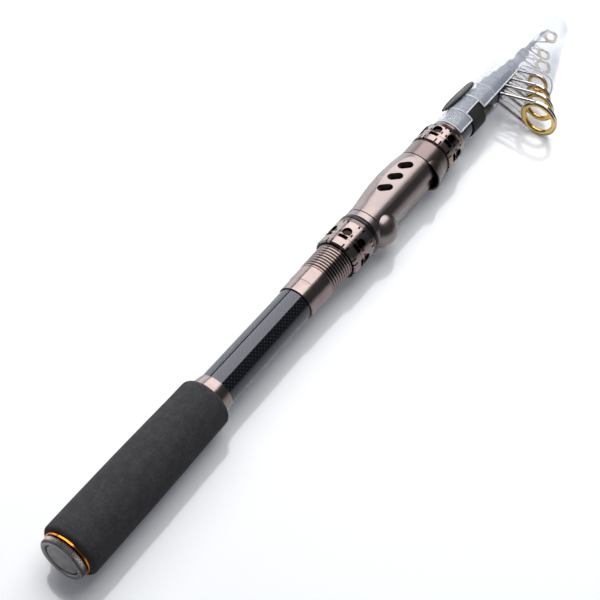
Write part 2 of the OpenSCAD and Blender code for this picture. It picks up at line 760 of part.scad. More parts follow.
// Clear cover: a slotted clip behind and a closed bag in front, with a slit for the strap that is open to
// the rear, and a notch in the slot's upper edge that leaves the strap bare
module tip_cover() {
    strap_x = cover_x + strap_in;
    reach = 3 * cover_r;
    color([0.85, 0.88, 0.92, 0.4]) guide_side() difference() {
        union() {
            along(cover_x) cylinder(r = cover_r, h = cover_clip_len);
            bag(0, cover_mouth_x, cover_end_x);
        }
        along(cover_x - eps) cylinder(r = cover_r - cover_t, h = cover_clip_len + 2 * eps);
        bag(cover_t, cover_mouth_x - eps, cover_end_x - cover_t);
        for (side = [-1, 1]) wedge(cover_x - eps, cover_clip_len + eps, 0, side * cover_slot_half, reach);
        wedge(strap_x - slit_clear, strap_w + 2 * slit_clear, 0, cover_slot_half + strap_notch, reach);
        rotate([-strap_turn - guide_roll, 0, 0]) translate([cover_x - eps, -slit_w / 2, 0])
            cube([strap_in + strap_w + slit_clear + eps, slit_w, 2 * cover_r]);
    }
}

// Band round the butt section under the cover, with a loose tab that comes out of the slit on the left
module cover_strap() {
    x0 = cover_x + strap_in;
    band_in = blank_r(x0) + bond;
    web_t = slit_w - 2 * slit_clear;
    tab_in = cover_r + tab_clear;
    tab_x = x0 - tab_back;
    steps = 8;
    rise = [for (k = [0:steps]) tab_edge + tab_rise * sin(180 * k / steps)];
    tab = concat([for (k = [0:steps]) [tab_x + tab_len * k / steps, tab_in + rise[k]]],
                 [[tab_x + tab_len, tab_in], [tab_x, tab_in]]);
    color(rubber) union() {
        difference() {
            along(x0) cylinder(r = band_in + strap_t, h = strap_w);
            blank_bore(x0, x0 + strap_w);
        }
        rotate([-strap_turn, 0, 0]) {
            translate([x0, -web_t / 2, band_in + strap_t / 2]) cube([strap_w, web_t, tab_in - band_in]);
            rotate([tab_lift, 0, 0]) along(0) rotate([0, 0, 180 - tab_half_angle])
                rotate_extrude(angle = 2 * tab_half_angle) polygon([for (p = tab) [p[1], p[0]]]);
        }
    }
}

butt_cap();
cap_disc();
cap_damper();
butt_insert();
trim_ring();
foam_grip();
grip_collar();
butt_section();
seat_tube();
lock_ring();
lock_nut();
seat_oring();
slide_hood();
seat_body();
fixed_hood();
upper_ring();
fixed_crown();
front_check();
for (i = [1:5]) {
    color(carbon) section_tube(i);
}
color(carbon) section_tube(sections - 1);  // tip_section
for (k = [0:5]) {
    guide_frame(guide_x[k], guide_h[k], guide_r[k], leg_r[k], insert_r[k], carrier_r(k));
    guide_ring(guide_x[k], guide_h[k], guide_r[k], insert_r[k]);
}
tip_frame();
guide_ring(tip_ring_x, tip_ring_h, tip_ring_r, tip_insert_r);  // tip_ring
tip_cover();
cover_strap();
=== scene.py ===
"""Looks of a collapsed telescopic fishing rod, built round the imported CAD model, in metres."""

import math

import bmesh
import bpy
from mathutils import Matrix, Vector


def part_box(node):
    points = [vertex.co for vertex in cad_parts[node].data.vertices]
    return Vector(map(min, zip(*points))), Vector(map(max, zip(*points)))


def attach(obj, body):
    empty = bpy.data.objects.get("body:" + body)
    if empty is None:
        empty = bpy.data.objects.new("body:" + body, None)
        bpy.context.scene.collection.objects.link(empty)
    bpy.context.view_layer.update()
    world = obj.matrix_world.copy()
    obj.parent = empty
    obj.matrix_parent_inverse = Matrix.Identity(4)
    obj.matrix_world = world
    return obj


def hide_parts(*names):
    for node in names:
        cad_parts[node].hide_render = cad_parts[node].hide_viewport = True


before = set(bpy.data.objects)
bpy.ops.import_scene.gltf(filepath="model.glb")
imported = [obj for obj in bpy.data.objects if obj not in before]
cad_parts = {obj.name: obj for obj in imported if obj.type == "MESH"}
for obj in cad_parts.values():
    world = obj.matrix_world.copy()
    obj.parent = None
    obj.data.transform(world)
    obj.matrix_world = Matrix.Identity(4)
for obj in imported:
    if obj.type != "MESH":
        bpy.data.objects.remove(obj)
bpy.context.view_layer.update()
scene = bpy.context.scene

# The grip lies on the floor
GRIP_LOW, GRIP_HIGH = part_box("foam_grip")
GRIP_R = (GRIP_HIGH[2] - GRIP_LOW[2]) / 2
FLOOR_Z = GRIP_LOW[2]

# The guides stand towards -Y, rolled down until the largest ring is level with the grip's underside
LARGEST_RING_R = 0.0115
LARGEST_RING_REACH = 0.0325
ROLL = math.asin((-FLOOR_Z - LARGEST_RING_R) / LARGEST_RING_REACH)
GUIDE = Vector((0, -math.cos(ROLL), -math.sin(ROLL)))
SIDE = Vector((0, -math.sin(ROLL), math.cos(ROLL)))

# Bodies that carry guides one to six, from the largest
GUIDE_BODIES = ["part_2", "part_3", "part_4", "part_5", "part_6", "tip"]
GUIDE_NUMBERS = range(1, len(GUIDE_BODIES) + 1)


# Node helpers for the materials

# Places of the sockets that a Mix node uses for colours
MIX_FACTOR, MIX_FIRST, MIX_SECOND, MIX_RESULT = 0, 6, 7, 2
LOW_STOP, HIGH_STOP = 0.3, 0.7


class Graph:
    """A material's node tree, with short calls for the nodes used here."""

    def __init__(self, name):
        self.mat = bpy.data.materials.new(name)
        self.mat.use_nodes = True
        self.nodes = self.mat.node_tree.nodes
        self.links = self.mat.node_tree.links
        self.bsdf = self.nodes["Principled BSDF"]
        self.coord = self.nodes.new("ShaderNodeTexCoord").outputs["Object"]

    def set(self, **values):
        """Set the shader's own sockets, named in lower case with underscores."""
        for key, value in values.items():
            socket = key.replace("_", " ").title().replace("Ior", "IOR")
            self.bsdf.inputs[socket].default_value = value
        return self

    def put(self, output, socket):
        """Link an output to one of the shader's sockets."""
        self.links.new(output, self.bsdf.inputs[socket])

    def feed(self, node, values):
        """Fill a node's first sockets with numbers or links, and give its first output."""
        for socket, value in zip(node.inputs, values):
            if isinstance(value, (int, float)):
                socket.default_value = value
            else:
                self.links.new(value, socket)
        return node.outputs[0]

    def math(self, operation, *values):
        node = self.nodes.new("ShaderNodeMath")
        node.operation = operation
        return self.feed(node, values)

    def times(self, value, factor):
        return self.math("MULTIPLY", value, factor)

    def weigh(self, first, first_share, second, second_share):
        """Sum of two values, each times its share."""
        return self.math("ADD", self.times(first, first_share), self.times(second, second_share))

    def length(self, first, second):
        """Length of a vector with these two parts."""
        squares = self.math("ADD", self.times(first, first), self.times(second, second))
        return self.math("POWER", squares, 0.5)

    def xyz(self):
        node = self.nodes.new("ShaderNodeSeparateXYZ")
        self.links.new(self.coord, node.inputs[0])
        return node.outputs

    def vec(self, *values):
        return self.feed(self.nodes.new("ShaderNodeCombineXYZ"), values)

    def noise(self, scale, detail=3, rough=0.5, vector=None):
        node = self.nodes.new("ShaderNodeTexNoise")
        node.inputs["Scale"].default_value = scale
        node.inputs["Detail"].default_value = detail
        node.inputs["Roughness"].default_value = rough
        self.links.new(vector or self.coord, node.inputs["Vector"])
        return node.outputs["Fac"]

    def voronoi(self, scale):
        node = self.nodes.new("ShaderNodeTexVoronoi")
        node.inputs["Scale"].default_value = scale
        self.links.new(self.coord, node.inputs["Vector"])
        return node.outputs["Distance"]

    def ramp(self, factor, stops):
        """Ramp through (position, colour) stops, where a plain number is a grey."""
        node = self.nodes.new("ShaderNodeValToRGB")
        elements = node.color_ramp.elements
        while len(elements) < len(stops):
            elements.new(0.5)
        for element, (position, tone) in zip(elements, stops):
            element.position = position
            element.color = (*tone, 1) if isinstance(tone, tuple) else (tone, tone, tone, 1)
        self.links.new(factor, node.inputs[0])
        return node.outputs["Color"]

    def tones(self, factor, low, high):
        """Ramp between two colours over the middle of a noise."""
        return self.ramp(factor, [(LOW_STOP, low), (HIGH_STOP, high)])

    def mix(self, factor, first, second):
        node = self.nodes.new("ShaderNodeMix")
        node.data_type = "RGBA"
        for place, value in ((MIX_FACTOR, factor), (MIX_FIRST, first), (MIX_SECOND, second)):
            if isinstance(value, tuple):
                node.inputs[place].default_value = (*value, 1)
            else:
                self.links.new(value, node.inputs[place])
        return node.outputs[MIX_RESULT]

    def bump(self, height, strength, distance):
        node = self.nodes.new("ShaderNodeBump")
        node.inputs["Strength"].default_value = strength
        node.inputs["Distance"].default_value = distance
        self.links.new(height, node.inputs["Height"])
        self.put(node.outputs[0], "Normal")


# Materials

# Tone of the painted shade in the hollows of the nut's rings and the thread's grooves
RECESS_PAINTED_SHADE = (0.022, 0.014, 0.012)
WRAP_DARK = (0.055, 0.06, 0.08)
RADIUS_RAMP = 0.02
LINES_ALONG, LINES_ROUND, LINE_DEPTH = 9000, 60, 0.00005


def metal(name, low, high, rough, variation=0.1, scale=160, brushed=0.0, shade_and_wrap_radii=None, shade_and_wrap_tone=RECESS_PAINTED_SHADE):
    """Metal with a faint cloud in colour and gloss, and fine turned lines where it is brushed.

    With two radii given, what lies nearer to the rod's axis is dark and fades between them: painted shade
    in the hollows of nut and thread, and a ferrule's real dark wrap.
    """
    g = Graph(name).set(metallic=1.0)
    cloud = g.noise(scale, detail=4)
    color = g.tones(cloud, low, high)
    x, y, z = g.xyz()
    # Dark near the axis: painted shade in the hollows of nut and thread, and the real dark wrap on guide
    # ferrules
    if shade_and_wrap_radii:
        radius = g.times(g.length(y, z), 1 / RADIUS_RAMP)
        edge = g.ramp(radius, [(shade_and_wrap_radii[0] / RADIUS_RAMP, 0.0), (shade_and_wrap_radii[1] / RADIUS_RAMP, 1.0)])
        color = g.mix(edge, shade_and_wrap_tone, color)
    g.put(color, "Base Color")
    g.put(g.ramp(cloud, [(0.25, rough - variation / 2), (0.75, rough + variation / 2)]), "Roughness")
    if brushed:
        stretched = g.vec(g.times(x, LINES_ALONG), g.times(y, LINES_ROUND), g.times(z, LINES_ROUND))
        g.bump(g.noise(scale=1, detail=2, vector=stretched), strength=brushed, distance=LINE_DEPTH)
    return g.mat


def make_foam():
    """Fine cells with a grain, paler in worn patches."""
    g = Graph("foam_skin").set(roughness=0.92, specular_ior_level=0.25)
    cells = g.voronoi(scale=1500)
    grain = g.noise(scale=900, detail=5, rough=0.7)
    skin = g.weigh(cells, 0.6, grain, 0.6)
    worn = g.noise(scale=220, detail=4, rough=0.6)
    tone = g.weigh(skin, 0.5, worn, 0.5)
    stops = [(0.25, (0.034, 0.033, 0.037)), (0.55, (0.058, 0.056, 0.062)), (0.85, (0.10, 0.097, 0.106))]
    g.put(g.ramp(tone, stops), "Base Color")
    g.bump(skin, strength=0.35, distance=0.0003)
    return g.mat


WEAVE_R, WEAVE_CELL = 0.0098, 0.00125


def make_carbon(name, rough, low, middle, high):
    """Plain weave laid round the tube, under a bluish gloss."""
    g = Graph(name).set(roughness=rough, ior=1.72, specular_tint=(0.86, 0.88, 1.0, 1))
    x, y, z = g.xyz()
    turn = g.times(g.math("ARCTAN2", y, z), math.pi * WEAVE_R / WEAVE_CELL)
    along = g.times(x, math.pi / WEAVE_CELL)
    check = g.times(g.math("SINE", turn), g.math("SINE", along))
    fleck = g.noise(scale=1500, rough=0.8)
    tone = g.weigh(check, 0.4, fleck, 0.8)
    g.put(g.ramp(tone, [(0.3, low), (0.5, middle), (0.75, high)]), "Base Color")
    return g.mat


def make_rubber():
    g = Graph("rubber").set(roughness=0.25, specular_ior_level=0.3)
    cloud = g.noise(scale=700)
    g.put(g.tones(cloud, (0.005, 0.005, 0.007), (0.012, 0.012, 0.016)), "Base Color")
    g.bump(cloud, strength=0.1, distance=0.00005)
    return g.mat


WEB_RIB = 0.0011


def make_webbing():
    """Ribs across the strap, with a noise in their colour."""
    g = Graph("webbing").set(roughness=0.75)
    x, y, z = g.xyz()
    rib = g.math("SINE", g.times(x, 2 * math.pi / WEB_RIB))
    tone = g.math("ADD", g.times(rib, 0.25), g.noise(scale=600))
    g.put(g.ramp(tone, [(0.25, (0.006, 0.006, 0.007)), (0.8, (0.03, 0.03, 0.034))]), "Base Color")
    g.bump(rib, strength=0.4, distance=0.0001)
    return g.mat


def make_tab():
    g = Graph("tab_rubber").set(roughness=0.45)
    cloud = g.noise(scale=500, detail=4, rough=0.6)
    g.put(g.tones(cloud, (0.022, 0.022, 0.025), (0.045, 0.045, 0.05)), "Base Color")
    g.bump(cloud, strength=0.15, distance=0.0001)
    return g.mat


# Opacity of the vinyl at stations along the rod, and the share that its cloud adds
STATION_RAMP = 0.5
VINYL_OPACITY = [(0.33, 0.25), (0.39, 0.2), (0.41, 0.15), (0.45, 0.2)]
VINYL_CLOUD = 0.05


def make_clear():
    """Clear soft vinyl with a faint cloud, haziest where it grips the rod."""
    g = Graph("clear_vinyl").set(roughness=0.12, ior=1.45)
    x, y, z = g.xyz()
    haze = g.noise(scale=45, detail=2, rough=0.4)
    g.put(g.tones(haze, (0.76, 0.82, 0.97), (0.88, 0.92, 0.99)), "Base Color")
    stops = [(station / STATION_RAMP, opacity) for station, opacity in VINYL_OPACITY]
    body = g.ramp(g.times(x, 1 / STATION_RAMP), stops)
    g.put(g.math("ADD", body, g.times(haze, VINYL_CLOUD)), "Alpha")
    g.bump(haze, strength=0.1, distance=0.0004)
    return g.mat


def make_edge():
    """Cut edge of the vinyl, which gathers light and looks white."""
    g = Graph("vinyl_edge").set(roughness=0.2, ior=1.45)
    cloud = g.noise(scale=150, detail=2)
    g.put(g.tones(cloud, (0.88, 0.90, 0.95), (0.97, 0.97, 0.99)), "Base Color")
    return g.mat


ROSE_TONES = ((0.265, 0.205, 0.195), (0.32, 0.26, 0.25))
SATIN_TONES = ((0.25, 0.203, 0.196), (0.29, 0.243, 0.236))
HOOD_TONES = ((0.17, 0.13, 0.126), (0.205, 0.16, 0.155))
CAP_TONES = ((0.24, 0.225, 0.225), (0.36, 0.34, 0.34))
GOLD_TONES = ((0.70, 0.46, 0.12), (0.86, 0.62, 0.22))
COPPER_TONES = ((0.72, 0.20, 0.012), (0.86, 0.29, 0.03))
SMOKE_TONES = ((0.54, 0.50, 0.495), (0.68, 0.64, 0.635))
STEEL_TONES = ((0.5, 0.5, 0.51), (0.65, 0.65, 0.66))
CARBON_TONES = ((0.003, 0.003, 0.004), (0.006, 0.006, 0.008), (0.034, 0.035, 0.042))
LACQUER_TONES = ((0.060, 0.064, 0.082), (0.085, 0.090, 0.112), (0.135, 0.142, 0.170))
ROSE_FINISH = {"rough": 0.2, "variation": 0.06}
SATIN_FINISH = {"rough": 0.29, "variation": 0.06, "scale": 120, "brushed": 0.12}
GOLD_FINISH = {"rough": 0.2, "variation": 0.08}
SMOKE_FINISH = {"rough": 0.16, "variation": 0.06}

CHROME = metal("rose_chrome", *ROSE_TONES, **ROSE_FINISH)
# The nut's rings and the thread get painted shade: dark in their recesses, windows and thread grooves close
# to the axis
NUT_PAINTED_SHADE = metal("rose_crown_painted_shade", *ROSE_TONES, **ROSE_FINISH, shade_and_wrap_radii=(0.01162, 0.01176))
THREAD_PAINTED_SHADE = metal("rose_thread_painted_shade", *ROSE_TONES, **ROSE_FINISH, shade_and_wrap_radii=(0.01012, 0.01032))
SATIN = metal("rose_satin", *SATIN_TONES, **SATIN_FINISH)
HOOD = metal("rose_hood", *HOOD_TONES, **SATIN_FINISH)
CAP = metal("cap_grey", *CAP_TONES, rough=0.42, variation=0.12, scale=300, brushed=0.2)
GOLD = metal("gold", *GOLD_TONES, **GOLD_FINISH)
COPPER = metal("orange_gold", *COPPER_TONES, **GOLD_FINISH)
SMOKE = metal("smoke_chrome", *SMOKE_TONES, **SMOKE_FINISH)
STEEL = metal("insert_alloy", *STEEL_TONES, rough=0.35)
FOAM = make_foam()
CARBON = make_carbon("carbon_weave", 0.05, *CARBON_TONES)
LACQUER = make_carbon("section_lacquer", 0.34, *LACQUER_TONES)
RUBBER = make_rubber()
WEBBING = make_webbing()
TAB = make_tab()
CLEAR = make_clear()
EDGE = make_edge()


# Mesh helpers: a shape is a pair of vertices and faces

MERGE_DISTANCE = 1e-7
FINE_TURN, PLAIN_TURN, COARSE_TURN = 128, 96, 72


def clean_mesh(name, shape):
    """Mesh of a shape, with doubled points merged and its faces turned outwards."""
    verts, faces = shape
    mesh = bpy.data.meshes.new(name)
    mesh.from_pydata([tuple(v) for v in verts], [], faces)
    bm = bmesh.new()
    bm.from_mesh(mesh)
    bmesh.ops.remove_doubles(bm, verts=bm.verts, dist=MERGE_DISTANCE)
    bmesh.ops.recalc_face_normals(bm, faces=bm.faces)
    bm.to_mesh(mesh)
    bm.free()
    return mesh


def shade(mesh, smooth=True):
    for face in mesh.polygons:
        face.use_smooth = smooth


def add_object(name, data):
    obj = bpy.data.objects.new(name, data)
    scene.collection.objects.link(obj)
    return obj


def finish_piece(obj, material, body):
    """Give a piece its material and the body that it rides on."""
    obj.data.materials.clear()
    obj.data.materials.append(material)
    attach(obj, body)


def new_piece(name, shape, material, body, smooth=True):
    obj = add_object(name, clean_mesh(name, shape))
    shade(obj.data, smooth)
    finish_piece(obj, material, body)
    return obj


def spread(start, end, count):
    """Evenly spaced numbers, with both ends."""
    return [start + (end - start) * k / (count - 1) for k in range(count)]


def between(first, second, share):
    """Point part of the way from one point to another."""
    return [a + (b - a) * share for a, b in zip(first, second)]


def grid_faces(rows, width, closed=False):
    """Faces of a grid of points laid row by row, joined into a tube where it is closed."""
    faces = []
    for i in range(rows - 1):
        here, there = i * width, (i + 1) * width
        for k in range(width if closed else width - 1):
            m = (k + 1) % width
            faces.append((here + k, here + m, there + m, there + k))
    return faces


def grid_rim(rows, width):
    """Indices in turn round the edge of a grid of points laid row by row."""
    first_row = list(range(width))
    last_column = [i * width + width - 1 for i in range(1, rows)]
    last_row = [(rows - 1) * width + k for k in range(width - 2, -1, -1)]
    first_column = [i * width for i in range(rows - 2, 0, -1)]
    return first_row + last_column + last_row + first_column


def join(shapes):
    """Several shapes as one."""
    verts, faces = [], []
    for more_verts, more_faces in shapes:
        faces += [tuple(i + len(verts) for i in face) for face in more_faces]
        verts += more_verts
    return verts, faces


def lathe(points, segments=PLAIN_TURN):
    """Shape of a closed ring of revolution about X, from (station, radius) points."""
    count = len(points)
    verts, faces = [], []
    for k in range(segments):
        turn = 2 * math.pi * k / segments
        verts += [(x, -r * math.sin(turn), r * math.cos(turn)) for x, r in points]
        here, there = k * count, (k + 1) % segments * count
        for i in range(count):
            j = (i + 1) % count
            faces.append((here + i, here + j, there + j, there + i))
    return verts, faces


def arc(x, y, radius, start, end, steps=10):
    """Points of a round stretch between two angles in degrees."""
    angles = [math.radians(angle) for angle in spread(start, end, steps + 1)]
    return [(x + radius * math.cos(angle), y + radius * math.sin(angle)) for angle in angles]


# A direction that no bead or wire runs along
TUBE_UP = Vector((0.31, 0.42, 0.85))


def tube(path, radius, sides=8):
    """Shape of a round bead along open points, closed at both ends."""
    verts = []
    up = TUBE_UP
    for k, point in enumerate(path):
        way = (path[min(k + 1, len(path) - 1)] - path[max(k - 1, 0)]).normalized()
        right = way.cross(up).normalized()
        up = right.cross(way)
        for j in range(sides):
            turn = 2 * math.pi * j / sides
            verts.append(point + right * radius * math.cos(turn) + up * radius * math.sin(turn))
    ends = [tuple(range(sides)), tuple(range(len(verts) - sides, len(verts)))]
    return verts, grid_faces(len(path), sides, closed=True) + ends


def off_axis(x, across, up):
    """Point at a station, a distance towards the guides and a distance square to that."""
    return Vector((x, 0, 0)) + GUIDE * across + SIDE * up


def round_axis(x, turn, radius):
    """Point at a station, an angle from the top and a distance from the rod's axis."""
    return Vector((x, -math.sin(turn) * radius, math.cos(turn) * radius))


# Butt cap: finely ribbed rim round a disc in a recess, on a screw

CAP_R, CAP_LEN = 0.0124, 0.004
CAP_BEVEL = 0.0003
CAP_FACE_R = 0.0116
CAP_CREASE = math.radians(30)
RECESS_R, RECESS_FLOOR = 0.0094, 0.0018
LIP_R, LIP_START, LIP_DEPTH, LIP_WIDTH = 0.0099, 0.0006, 0.0001, 0.0002
RIM_START, RIM_BEVEL = 0.0005, 0.0004
RIB_COUNT, RIB_STEPS = 72, 6
RIB_DEPTH, RIB_SHARPNESS = 0.045, 0.7
SCREW_R, SCREW_START, SCREW_END = 0.0082, 0.0045, 0.015
SCREW_STEP, SCREW_POINTS, SCREW_DEPTH = 0.0005, 21, 0.0003
DISC_R, DISC_LIP_R = 0.0089, 0.0078
DISC_BACK, DISC_FACE, DISC_DISH = 0.0017, 0.0006, 0.00075


def cap_shape():
    """Turned cap with its screw, and ribs pressed into its rim."""
    face = [(RECESS_FLOOR, 0), (RECESS_FLOOR, RECESS_R), (LIP_START, RECESS_R),
            (LIP_DEPTH, LIP_R), (0, LIP_R + LIP_WIDTH), (0, CAP_FACE_R)]
    rim = [(RIM_START, CAP_R - CAP_BEVEL), (RIM_START + RIM_BEVEL, CAP_R),
           (CAP_LEN - RIM_BEVEL, CAP_R), (CAP_LEN, CAP_R - CAP_BEVEL)]
    screw = [(SCREW_START + SCREW_STEP * k, SCREW_R - SCREW_DEPTH * (k % 2)) for k in range(SCREW_POINTS)]
    end = [(SCREW_END, SCREW_R - 2 * SCREW_DEPTH), (SCREW_END, 0)]
    profile = face + rim + [(CAP_LEN, SCREW_R)] + screw + end
    ribbed = range(len(face), len(face) + len(rim))
    verts, faces = lathe(profile, RIB_COUNT * RIB_STEPS)
    for i, (x, y, z) in enumerate(verts):
        step, place = divmod(i, len(profile))
        if place in ribbed:
            valley = 0.5 - 0.5 * math.cos(2 * math.pi * step / RIB_STEPS)
            share = 1 - RIB_DEPTH * valley ** RIB_SHARPNESS
            verts[i] = (x, y * share, z * share)
    return verts, faces


def build_cap():
    cap = new_piece("cap_ribbed", cap_shape(), CAP, "cap_turn")
    cap.data.set_sharp_from_angle(angle=CAP_CREASE)
    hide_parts("butt_cap")
    dish = [(DISC_BACK, 0), (DISC_BACK, DISC_R), (DISC_FACE + CAP_BEVEL, DISC_R),
            (DISC_FACE, DISC_R - CAP_BEVEL), (DISC_FACE, DISC_LIP_R),
            (DISC_DISH, DISC_LIP_R - CAP_BEVEL), (DISC_DISH, 0)]
    disc = new_piece("cap_dish", lathe(dish), CAP, "cap_slide")
    disc.data.set_sharp_from_angle(angle=CAP_CREASE)
    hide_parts("cap_disc")


# Sliding hood: a ring on the thread, with a hollow ball that opens forward over the reel foot

HOOD_LOW, HOOD_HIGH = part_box("slide_hood")
HOOD_REAR, HOOD_FRONT = HOOD_LOW[0], HOOD_HIGH[0]
HOOD_RING_LEN, HOOD_RING_R, HOOD_BORE_R = 0.0042, 0.012, 0.01078
HOOD_REAR_BEVEL, HOOD_FRONT_BEVEL, HOOD_FRONT_DROP = 0.0002, 0.0004, 0.0003
HOOD_CREASE = math.radians(35)
SEAT_CLEAR_R = 0.01165
BALL_R, BALL_WALL, BALL_STEPS = 0.0099, 0.0013, 40
BALL_X, BALL_ACROSS = HOOD_REAR + 0.0088, 0.0066
BALL_OPENING = 0.0068
CUTTER_R, CUTTER_PAST, CUTTER_INTO = 0.03, 0.002, 0.0001


def combine(obj, tool, operation):
    """Apply a boolean with another object, and delete that object."""
    modifier = obj.modifiers.new("cut", "BOOLEAN")
    modifier.object = tool
    modifier.operation = operation
    modifier.solver = "EXACT"
    evaluated = obj.evaluated_get(bpy.context.evaluated_depsgraph_get())
    mesh = bpy.data.meshes.new_from_object(evaluated)
    obj.modifiers.clear()
    obj.data = mesh
    bpy.data.objects.remove(tool)


def turned(name, profile, across=0.0):
    """Object of revolution about an axis along the rod, a distance towards the guides."""
    verts, faces = lathe(profile, FINE_TURN)
    moved = [Vector(v) + GUIDE * across for v in verts]
    return add_object(name, clean_mesh(name, (moved, faces)))


def ball_profile():
    """Wall of the ball, from its rear to its opening and back inside."""
    inner_r = BALL_R - BALL_WALL
    outer_end = math.degrees(math.acos(BALL_OPENING / BALL_R))
    inner_end = math.degrees(math.acos(BALL_OPENING / inner_r))
    outer = arc(BALL_X, 0, BALL_R, 180, outer_end, BALL_STEPS)
    return outer + arc(BALL_X, 0, inner_r, inner_end, 180, BALL_STEPS)


def build_hood():
    ball = turned("hood_shell", ball_profile(), BALL_ACROSS)
    behind, face = HOOD_REAR - CUTTER_PAST, HOOD_REAR + CUTTER_INTO
    bore = [(behind, 0), (behind, CUTTER_R), (face, CUTTER_R),
            (face, SEAT_CLEAR_R), (HOOD_FRONT, SEAT_CLEAR_R), (HOOD_FRONT, 0)]
    combine(ball, turned("bore", bore), "DIFFERENCE")
    end = HOOD_REAR + HOOD_RING_LEN
    ring = [(HOOD_REAR, HOOD_BORE_R), (HOOD_REAR, HOOD_RING_R - HOOD_REAR_BEVEL),
            (HOOD_REAR + HOOD_REAR_BEVEL, HOOD_RING_R), (end - HOOD_FRONT_BEVEL, HOOD_RING_R),
            (end, HOOD_RING_R - HOOD_FRONT_DROP), (end, HOOD_BORE_R)]
    combine(ball, turned("ring", ring), "UNION")
    shade(ball.data)
    ball.data.set_sharp_from_angle(angle=HOOD_CREASE)
    finish_piece(ball, SATIN, "hood")
    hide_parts("slide_hood")


# Foam grip: a turned foam sleeve with soft ends and a slight taper

GRIP_BORE_R, GRIP_BORE_DROP = 0.01075, 0.0005
GRIP_FRONT_R, GRIP_ROUND = 0.0143, 0.0026
# Distance from the rear end, and the drop in radius there
GRIP_TAPER = [(0.006, 0), (0.026, 0.0001), (0.05, 0.0003), (0.072, 0.0007), (0.09, 0.0011)]


def build_grip():
    rear_x, front_x = GRIP_LOW[0], GRIP_HIGH[0]
    rear = arc(rear_x + GRIP_ROUND, GRIP_R - GRIP_ROUND, GRIP_ROUND, 180, 90)
    body = [(rear_x + along, GRIP_R - drop) for along, drop in GRIP_TAPER]
    front = arc(front_x - GRIP_ROUND, GRIP_FRONT_R - GRIP_ROUND, GRIP_ROUND, 90, 0)
    profile = [(rear_x, GRIP_BORE_R)] + rear + body + front + [(front_x, GRIP_BORE_R - GRIP_BORE_DROP)]
    grip = new_piece("grip_foam", lathe(profile, FINE_TURN), FOAM, "handle")
    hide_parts("foam_grip")


# Clear cover: slotted clip behind, closed bag in front

COVER_LOW, COVER_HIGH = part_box("tip_cover")
COVER_X = COVER_LOW[0]
COVER_OUTER_R, COVER_WALL = 0.0108, 0.0006
COVER_R = COVER_OUTER_R - COVER_WALL / 2
COVER_SLOT = math.radians(51)
MOUTH_X, BAG_END_X = COVER_X + 0.065, COVER_HIGH[0] - COVER_WALL / 2
FLARE_LEN = 0.014
SEAM_X = COVER_X + 0.0361

# The bag's radius on the rod, the offset of its outer rounding and the radius there
MOUTH_BAG = (COVER_R, 0.0195, 0.0085)
FRONT_BAG = (0.0058, 0.0049, 0.0058)
LEAN = math.acos((MOUTH_BAG[0] - MOUTH_BAG[2]) / MOUTH_BAG[1])
FLANK = 0.32
EDGE_POINTS, ROUND_POINTS, SIDE_POINTS, NOSE_POINTS = 5, 37, 7, 25
BAG_ROWS = 22
ARCH_DEPTH, ARCH_SHARE, ARCH_SHARPNESS = 0.0042, 0.3, 0.7

# The strap passes a notch in the clip, and a slit lets the clip slide off past the strap's web
NOTCH = (COVER_X + 0.0121, COVER_X + 0.0251)
REAR_ROWS, NOTCH_ROWS, FRONT_ROWS = 7, 8, 25
NOTCH_FIRST, NOTCH_LAST = REAR_ROWS, REAR_ROWS + NOTCH_ROWS
NOTCH_COLUMNS = 4
SLIT_COLUMNS = (16, 17, 18)
SEAM_COLUMNS = 22

# Radii of the beads along the cover's edges
BEADS = {"notch": 0.00042, "far_side": 0.0003, "rear": 0.0004, "strap_rear": 0.0003, "strap_front": 0.0005,
         "seam": 0.00022, "mouth": 0.00042}


def round_points(radius, angles, offset=0.0):
    return [(offset + radius * math.cos(angle), radius * math.sin(angle)) for angle in angles]


def mirrored(points):
    return [(p, -q) for p, q in points]


def bag_row(share):
    """Back and front halves of the bag's outline at a share of its length, as (across, up) points."""
    rod_r, offset, nose_r = between(MOUTH_BAG, FRONT_BAG, share)
    lean = math.acos(max(-1, min(1, (rod_r - nose_r) / offset)))
    hub = round_points(rod_r, [lean])[0]
    rim = round_points(nose_r, [lean], offset)[0]
    top = [between(hub, rim, f) for f in spread(FLANK, 0, EDGE_POINTS + 1)[:-1]]
    side = [between(hub, rim, f) for f in spread(FLANK, 1, SIDE_POINTS + 1)[:-1]]
    back = round_points(rod_r, spread(lean, 2 * math.pi - lean, ROUND_POINTS))
    nose = round_points(nose_r, spread(-lean, lean, NOSE_POINTS), offset)
    return top + back + mirrored(top[::-1]), mirrored(side) + nose + side[::-1]


def clip_row():
    """Outline of the slotted clip, point for point with the back half of the bag's."""
    edge = spread(COVER_SLOT, LEAN, EDGE_POINTS + 1)[:-1]
    far_edge = [2 * math.pi - angle for angle in reversed(edge)]
    return round_points(COVER_R, edge + spread(LEAN, 2 * math.pi - LEAN, ROUND_POINTS) + far_edge)


def clip_stations():
    rear = spread(COVER_X, NOTCH[0], REAR_ROWS + 1)[:-1]
    notch = spread(*NOTCH, NOTCH_ROWS + 1)[:-1]
    return rear + notch + spread(NOTCH[1], MOUTH_X, FRONT_ROWS)


def clip_rows():
    """Rows of points along the clip, which flares into the bag's outline at the mouth."""
    ring, flare = clip_row(), bag_row(0)[0]
    rows = []
    for x in clip_stations():
        near = max(0.0, 1 - (MOUTH_X - x) / FLARE_LEN)
        share = near * near * (3 - 2 * near)
        rows.append([off_axis(x, *between(a, b, share)) for a, b in zip(ring, flare)])
    return rows


def in_gap(row, column):
    """Whether a face of the clip's grid is in the notch or in the slit."""
    in_notch = row >= NOTCH_FIRST and column < NOTCH_COLUMNS
    return row < NOTCH_LAST and (in_notch or column in SLIT_COLUMNS)


def clip_shape(rows):
    width = len(rows[0])
    faces = [face for face in grid_faces(len(rows), width) if not in_gap(*divmod(face[0], width))]
    return sum(rows, []), faces


